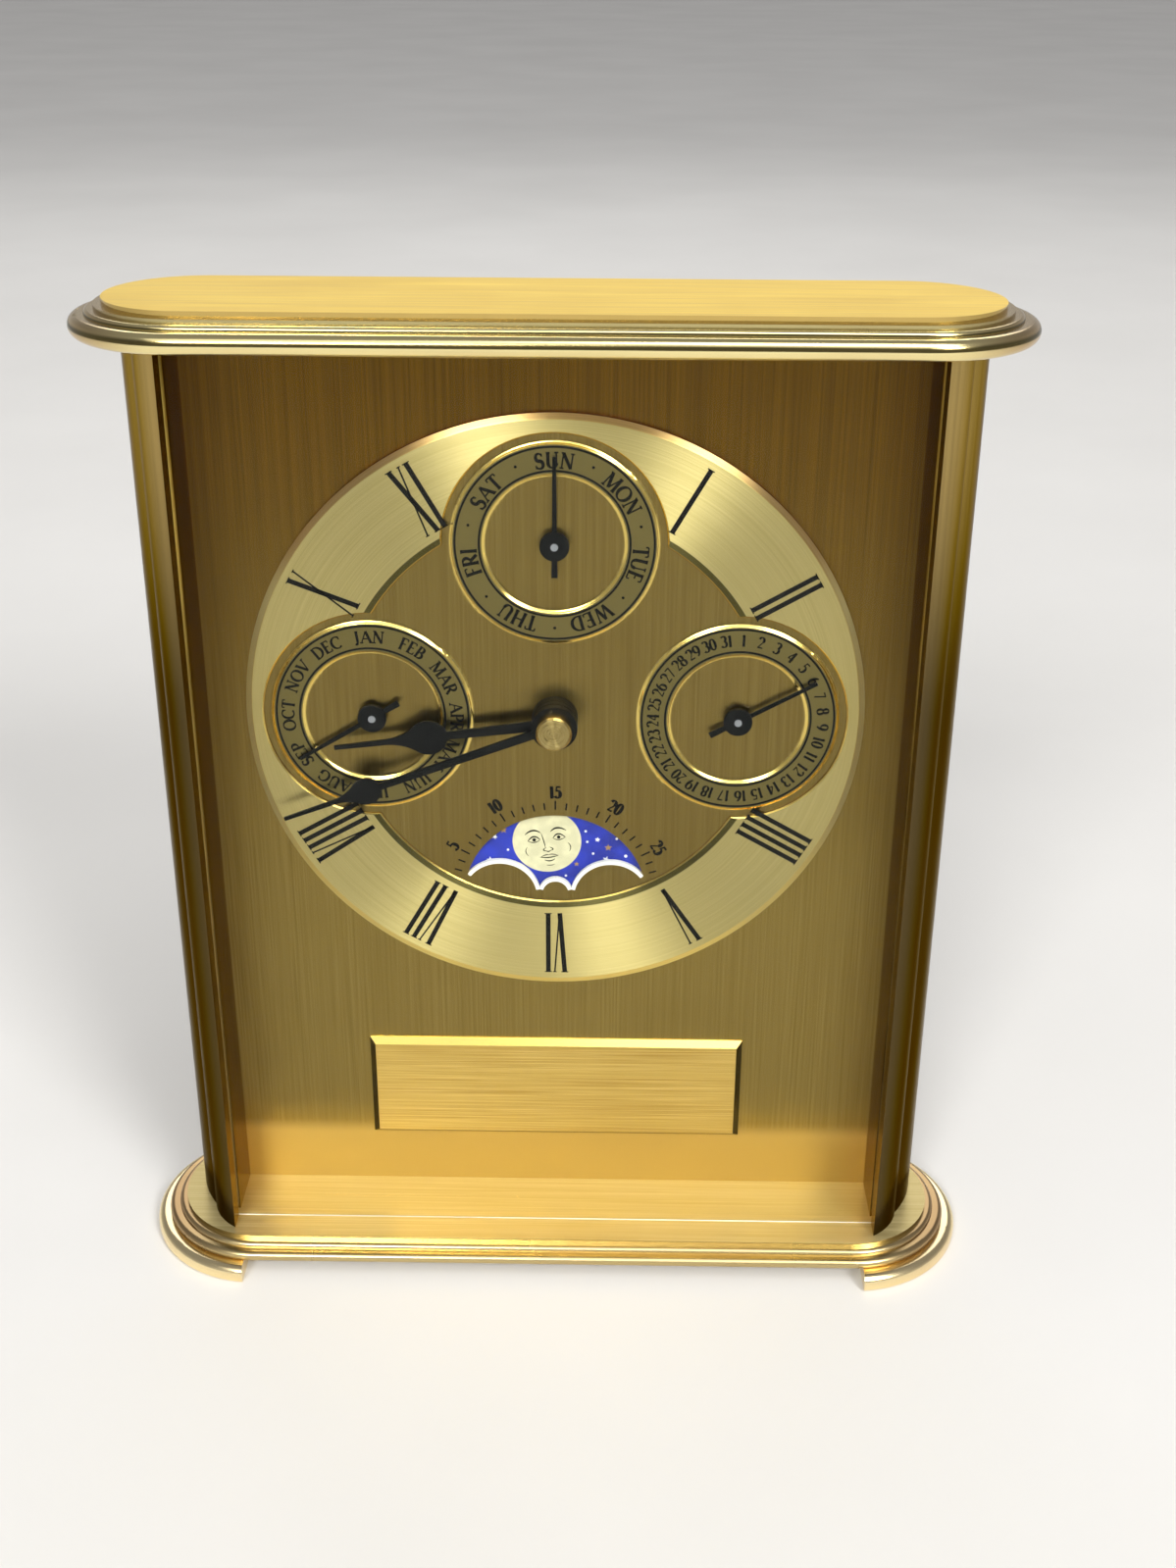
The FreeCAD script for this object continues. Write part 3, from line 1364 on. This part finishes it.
POST_X = housing_half_width - D.post_inset
POST_LOW = housing_bottom + D.post_inset
POST_HIGH = housing_top - D.post_inset
POSTS = [(POST_X * side, level) for side in (-1, 1) for level in (POST_LOW, POST_HIGH)]
PILLARS = [((housing_half_width - D.pillar_inset) * side, dial_centre + D.pillar_z * rise)
           for side in (-1, 1) for rise in (-1, 1)]
BUTTON_DIRECTIONS = {"day": 60.0, "date": 45.0, "month": 225.0, "moon": 125.0}
BUTTONS = {}
for name, direction in BUTTON_DIRECTIONS.items():
    BUTTONS[name] = step(STAR_CENTRES[name], direction,
                         STARS[name][1] - number(D.button_seat))
STAR_AXES = list(SMALL_AXES.values()) + [(Size(0), moon_height)]
TRAIN_AXES = (third_centre, fourth_centre, second_centre, rotor_centre)


def build_front_plate():
    """Moulded plate that closes the movement towards the dial."""
    body = new_body("front_plate")
    face = new_sketch(body, "face", "XZ", front_plate_back)
    rectangle(face, -housing_half_width, housing_bottom, housing_half_width,
              housing_top)
    pad(body, face, D.plate_thickness)
    holes = new_sketch(body, "holes", "XZ", front_plate_front)
    circle(holes, 0, dial_centre, D.bushing_radius)
    for x, z in STAR_AXES:
        circle(holes, x, z, D.small_arbor_radius + D.running_play)
    for x, z in PILLARS:
        circle(holes, x, z, D.screw_radius)
    for x, z in POSTS:
        circle(holes, x, z, D.screw_radius)
    pocket(body, holes, D.plate_thickness)


build_front_plate()


def build_train_plate():
    """Middle plate that carries the train's front pivots and two studs."""
    body = new_body("train_plate")
    inside = housing_half_width - D.housing_wall - D.plate_play
    low = housing_bottom + D.housing_wall + D.plate_play
    high = housing_top - D.housing_wall - D.plate_play
    face = new_sketch(body, "face", "XZ", train_plate_back)
    rectangle(face, -inside, low, inside, high)
    pad(body, face, D.train_plate_thickness)
    for name, (x, z), back in (("minute_stud", minute_centre, cannon_front + 0.9),):
        stud = new_sketch(body, name, "XZ", back)
        circle(stud, x, z, STUD_RADIUS)
        pad(body, stud, back - number(train_plate_back))
    stud = new_sketch(body, "transfer_stud", "XZ", train_plate_front)
    circle(stud, transfer_centre[0], transfer_centre[1], STUD_RADIUS)
    pad(body, stud, number(train_plate_front) - transfer_leaf_front)
    holes = new_sketch(body, "holes", "XZ", train_plate_front)
    circle(holes, 0, dial_centre, D.pipe_radius + D.plate_play)
    for x, z in STAR_AXES:
        circle(holes, x, z, D.small_arbor_radius + D.running_play)
    for x, z in TRAIN_AXES:
        circle(holes, x, z, D.pivot_radius + D.running_play)
    circle(holes, setting_centre[0], setting_centre[1], D.pivot_radius + D.running_play)
    for x, z in BUTTONS.values():
        circle(holes, x, z, D.button_stem + D.plate_play)
    for x, z in POSTS:
        circle(holes, x, z, D.screw_radius)
    pocket(body, holes, D.train_plate_thickness)


build_train_plate()


def build_housing():
    """Moulded movement case, open to the dial, with the battery bay below."""
    body = new_body("movement_housing")
    half = housing_half_width
    wall = D.housing_wall
    shell = new_sketch(body, "shell", "XZ", housing_outside)
    rectangle(shell, -half, housing_bottom, half, housing_top)
    pad(body, shell, housing_outside - front_plate_back)
    bay_back = front_plate_front + D.bay_depth
    bay = new_sketch(body, "bay", "XZ", bay_back)
    rectangle(bay, -D.bay_half_width, bay_bottom, D.bay_half_width, housing_bottom)
    pad(body, bay, bay_back - bay_front)
    hollow = new_sketch(body, "hollow", "XZ", front_plate_back)
    rectangle(hollow, wall - half, housing_bottom + wall, half - wall, housing_top - wall)
    pocket(body, hollow, housing_inside - front_plate_back)
    cell = new_sketch(body, "bay_hollow", "XZ", bay_front + D.bay_front_wall)
    rectangle(cell, wall - D.bay_half_width, bay_bottom + wall,
              D.bay_half_width - wall, housing_bottom)
    pocket(body, cell, bay_back - bay_front)
    posts = new_sketch(body, "posts", "XZ", housing_inside)
    for x, z in POSTS:
        circle(posts, x, z, D.post_radius)
    pad(body, posts, housing_inside - train_plate_back)
    supports = new_sketch(body, "board_posts", "XZ", housing_inside)
    for x, z in BOARD_POSTS:
        circle(supports, x, z, D.post_radius / 2)
    pad(body, supports, housing_inside - board_back)
    for x, z in POSTS:
        taps = new_sketch(body, "tap_%d" % POSTS.index((x, z)), "XZ", train_plate_back)
        circle(taps, x, z, D.screw_radius)
        pocket(body, taps, D.screw_engagement)
    pivots = new_sketch(body, "pivots", "XZ", housing_inside)
    for x, z in TRAIN_AXES + (CENTRE,):
        circle(pivots, x, z, D.pivot_radius + D.running_play)
    pocket(body, pivots, D.pivot_depth)
    through = new_sketch(body, "through_holes", "XZ", housing_inside)
    circle(through, setting_centre[0], setting_centre[1], SETTING_SHAFT + play)
    for x, z in BUTTONS.values():
        circle(through, x, z, D.button_stem + D.running_play)
    pocket(body, through, D.housing_back)


bay_front = front_plate_front - D.bay_front_wall + 0.1
board_right = housing_half_width - D.board_inset
board_bottom = dial_centre - D.board_drop - D.board_side / 2
BOARD_POSTS = ((board_right - D.board_side + 4.5, board_bottom + 3.5),
               (board_right - 4.5, board_bottom + D.board_side - 3.5))
board_back = housing_inside - 1.4
build_housing()


def build_movement_screws():
    screws = []
    for index, (x, z) in enumerate(POSTS):
        name = "movement_screw_%d" % index
        shank = cylinder_y(name + "_shank", x, z, front_plate_front,
                           train_plate_back + D.screw_engagement, D.screw_radius)
        head = cylinder_y(name + "_head", x, z, front_plate_front - D.screw_head_height,
                          front_plate_front, D.screw_head_radius)
        screws.append(fused(name, [shank, head]))
    group("movement_screws", screws)


build_movement_screws()


def build_dial_pillars():
    """Feet on the back of the dial sheet, through the front plate."""
    pillars = []
    for index, (x, z) in enumerate(PILLARS):
        name = "dial_pillar_%d" % index
        collar = cylinder_y(name + "_collar", x, z, dial_back, front_plate_front,
                            D.pillar_radius)
        stud = cylinder_y(name + "_stud", x, z, front_plate_front,
                          front_plate_back + D.plate_play, D.screw_radius)
        pillars.append(fused(name, [collar, stud]))
    group("dial_pillars", pillars)


build_dial_pillars()


def build_board():
    """Circuit board on two posts, and the quartz can lying on it."""
    thickness = 0.8
    board = box("circuit_board", board_right - D.board_side, board_right,
                board_back - thickness, board_back, board_bottom, board_bottom + D.board_side)
    board.Label = "circuit_board"
    nodes.append(board)
    can_radius = 1.5
    can = doc.addObject("Part::Cylinder", "quartz_can")
    can.Label = "quartz_crystal"
    can.Radius = can_radius
    can.Height = 8.0
    level = board_back - thickness - can_radius
    spot = (board_right - D.board_side + 6.5, level, board_bottom + 16.5)
    can.Placement = FreeCAD.Placement(Vector(*[number(v) for v in spot]),
                                      FreeCAD.Rotation(Vector(0, 1, 0), 90))
    for axis, size in zip("xyz", spot):
        bind(can, ".Placement.Base." + axis, size)
    nodes.append(can)


build_board()


STATOR_LEFT = -number(housing_half_width - D.housing_wall - D.stator_inset)
STATOR_RIGHT = rotor_centre[0] + 3.7
STATOR_LOW = rotor_centre[1] - 5.4
STATOR_HIGH = STATOR_LOW + 25.0
LEG = 4.5
stator_front = rotor_front + 0.25
STATOR_THICKNESS = 0.6


def build_motor():
    """Stator with the rotor's hole, and the coil across its legs."""
    body = new_body("stator")
    back = stator_front + STATOR_THICKNESS
    plate = new_sketch(body, "plate", "XZ", back)
    outline(plate, ((STATOR_LEFT, STATOR_LOW), (STATOR_RIGHT, STATOR_LOW),
                    (STATOR_RIGHT, STATOR_HIGH), (STATOR_RIGHT - LEG, STATOR_HIGH),
                    (STATOR_RIGHT - LEG, STATOR_LOW + 2.2 * LEG),
                    (STATOR_LEFT + LEG, STATOR_LOW + 2.2 * LEG),
                    (STATOR_LEFT + LEG, STATOR_HIGH), (STATOR_LEFT, STATOR_HIGH)))
    pad(body, plate, STATOR_THICKNESS)
    gap = new_sketch(body, "rotor_hole", "XZ", stator_front)
    circle(gap, rotor_centre[0], rotor_centre[1], ROTOR_RADIUS + 0.5)
    pocket(body, gap, STATOR_THICKNESS)
    core_low = STATOR_HIGH - LEG
    core = box("coil_core", STATOR_LEFT, STATOR_RIGHT, stator_front - 0.6, stator_front,
               core_low, STATOR_HIGH - 0.5)
    winding = doc.addObject("Part::Cylinder", "coil_winding")
    winding.Radius = 2.4
    winding.Height = STATOR_RIGHT - STATOR_LEFT - 2 * LEG - 1
    winding.Placement = FreeCAD.Placement(
        Vector(STATOR_LEFT + LEG + 0.5, stator_front - 0.3, core_low + LEG / 2 - 0.25),
        FreeCAD.Rotation(Vector(0, 1, 0), 90))
    coil = fused("motor_coil", [core, winding])
    coil.Label = "motor_coil"
    nodes.append(coil)


build_motor()


# ------------------------------------------------------------- the battery

battery_y = bay_front + D.bay_front_wall + D.battery_play + D.battery_radius
battery_z = (bay_bottom + D.housing_wall + housing_bottom) / 2
bay_inside = D.bay_half_width - D.housing_wall


def build_battery():
    """Cylindrical cell across the bay, between two sheet contacts."""
    plate_face = bay_inside - D.contact_thickness
    nub_end = plate_face
    nub_start = nub_end - D.battery_nub_length
    cell_end = nub_start - D.battery_length
    parts = []
    for name, x0, x1, radius in (("cell_can", cell_end, nub_start, D.battery_radius),
                                 ("cell_nub", nub_start, nub_end, D.battery_nub_radius)):
        bar = doc.addObject("Part::Cylinder", name)
        bar.Placement = FreeCAD.Placement(
            Vector(x0.number, battery_y.number, battery_z.number),
            FreeCAD.Rotation(Vector(0, 1, 0), 90))
        for axis, size in zip("xyz", (x0, battery_y, battery_z)):
            bind(bar, ".Placement.Base." + axis, size)
        length = x1 - x0
        bar.Height = length.number
        bind(bar, ".Height", length)
        bar.Radius = radius.number
        bind(bar, ".Radius", radius)
        parts.append(bar)
    battery = fused("battery", parts)
    battery.Label = "battery"
    nodes.append(battery)
    low = battery_z - D.contact_height / 2
    front = battery_y - D.contact_width / 2
    positive = box("contact_positive", plate_face, bay_inside, front,
                   front + D.contact_width, low, low + D.contact_height)
    positive.Label = "contact_positive"
    nodes.append(positive)
    negative = new_body("contact_negative")
    leaf = new_sketch(negative, "leaf", "XY", low)
    wall_face = -bay_inside
    thick = D.contact_thickness
    outline(leaf, ((wall_face, front), (wall_face, front + D.contact_width),
                   (wall_face + thick, front + D.contact_width),
                   (wall_face + thick, front + thick),
                   (cell_end - thick, battery_y), (cell_end, battery_y),
                   (wall_face + thick, front)))
    pad(negative, leaf, D.contact_height)


build_battery()


# ------------------------------------------------------- knob and correctors

def build_setting_knob():
    """Round knob with grip flutes, pressed on the setting shaft."""
    front = Size(knob_front)
    back = front + D.knob_thickness
    x, z = setting_centre
    body = turned("setting_knob", (
        (SETTING_SHAFT, front), (D.knob_radius, front), (D.knob_radius, back - 0.4),
        (D.knob_radius - 0.4, back), (0, back), (0, front + 2.0),
        (SETTING_SHAFT, front + 2.0)), x, z)
    flute = new_sketch(body, "flute", "XZ", front)
    circle(flute, 0, D.knob_radius + 0.35, 0.8)
    cut = pocket(body, flute, D.knob_thickness)
    flutes = body.newObject("PartDesign::PolarPattern", "knob_flutes")
    flutes.Originals = [cut]
    flutes.Axis = (flute, ["N_Axis"])
    flutes.Angle = 360
    flutes.Occurrences = 24
    body.Tip = flutes


build_setting_knob()

for name, (x, z) in BUTTONS.items():
    inner = Size(disc_front + WHEEL) + D.button_clear + D.button_stroke
    outer = housing_outside + D.button_stroke + D.button_clear
    turned(name + "_corrector", (
        (0, inner), (D.button_stem, inner), (D.button_stem, outer),
        (D.button_radius, outer), (D.button_radius, outer + D.button_height),
        (0, outer + D.button_height)), x, z)


# ------------------------------------------------------------ check and write

doc.recompute()
failed = [obj.Name for obj in doc.Objects
          if "Invalid" in obj.State or "Error" in obj.State]
if failed:
    raise RuntimeError("failed to recompute: " + ", ".join(failed))
for node in nodes:
    if node.Shape.isNull() or not node.Shape.isValid() or not node.Shape.Solids:
        raise RuntimeError("no valid solid: " + node.Label)

os.makedirs("parts", exist_ok=True)
for node in nodes:
    node.Shape.exportStep("parts/" + node.Label + ".step")
print(len(nodes), "nodes written")
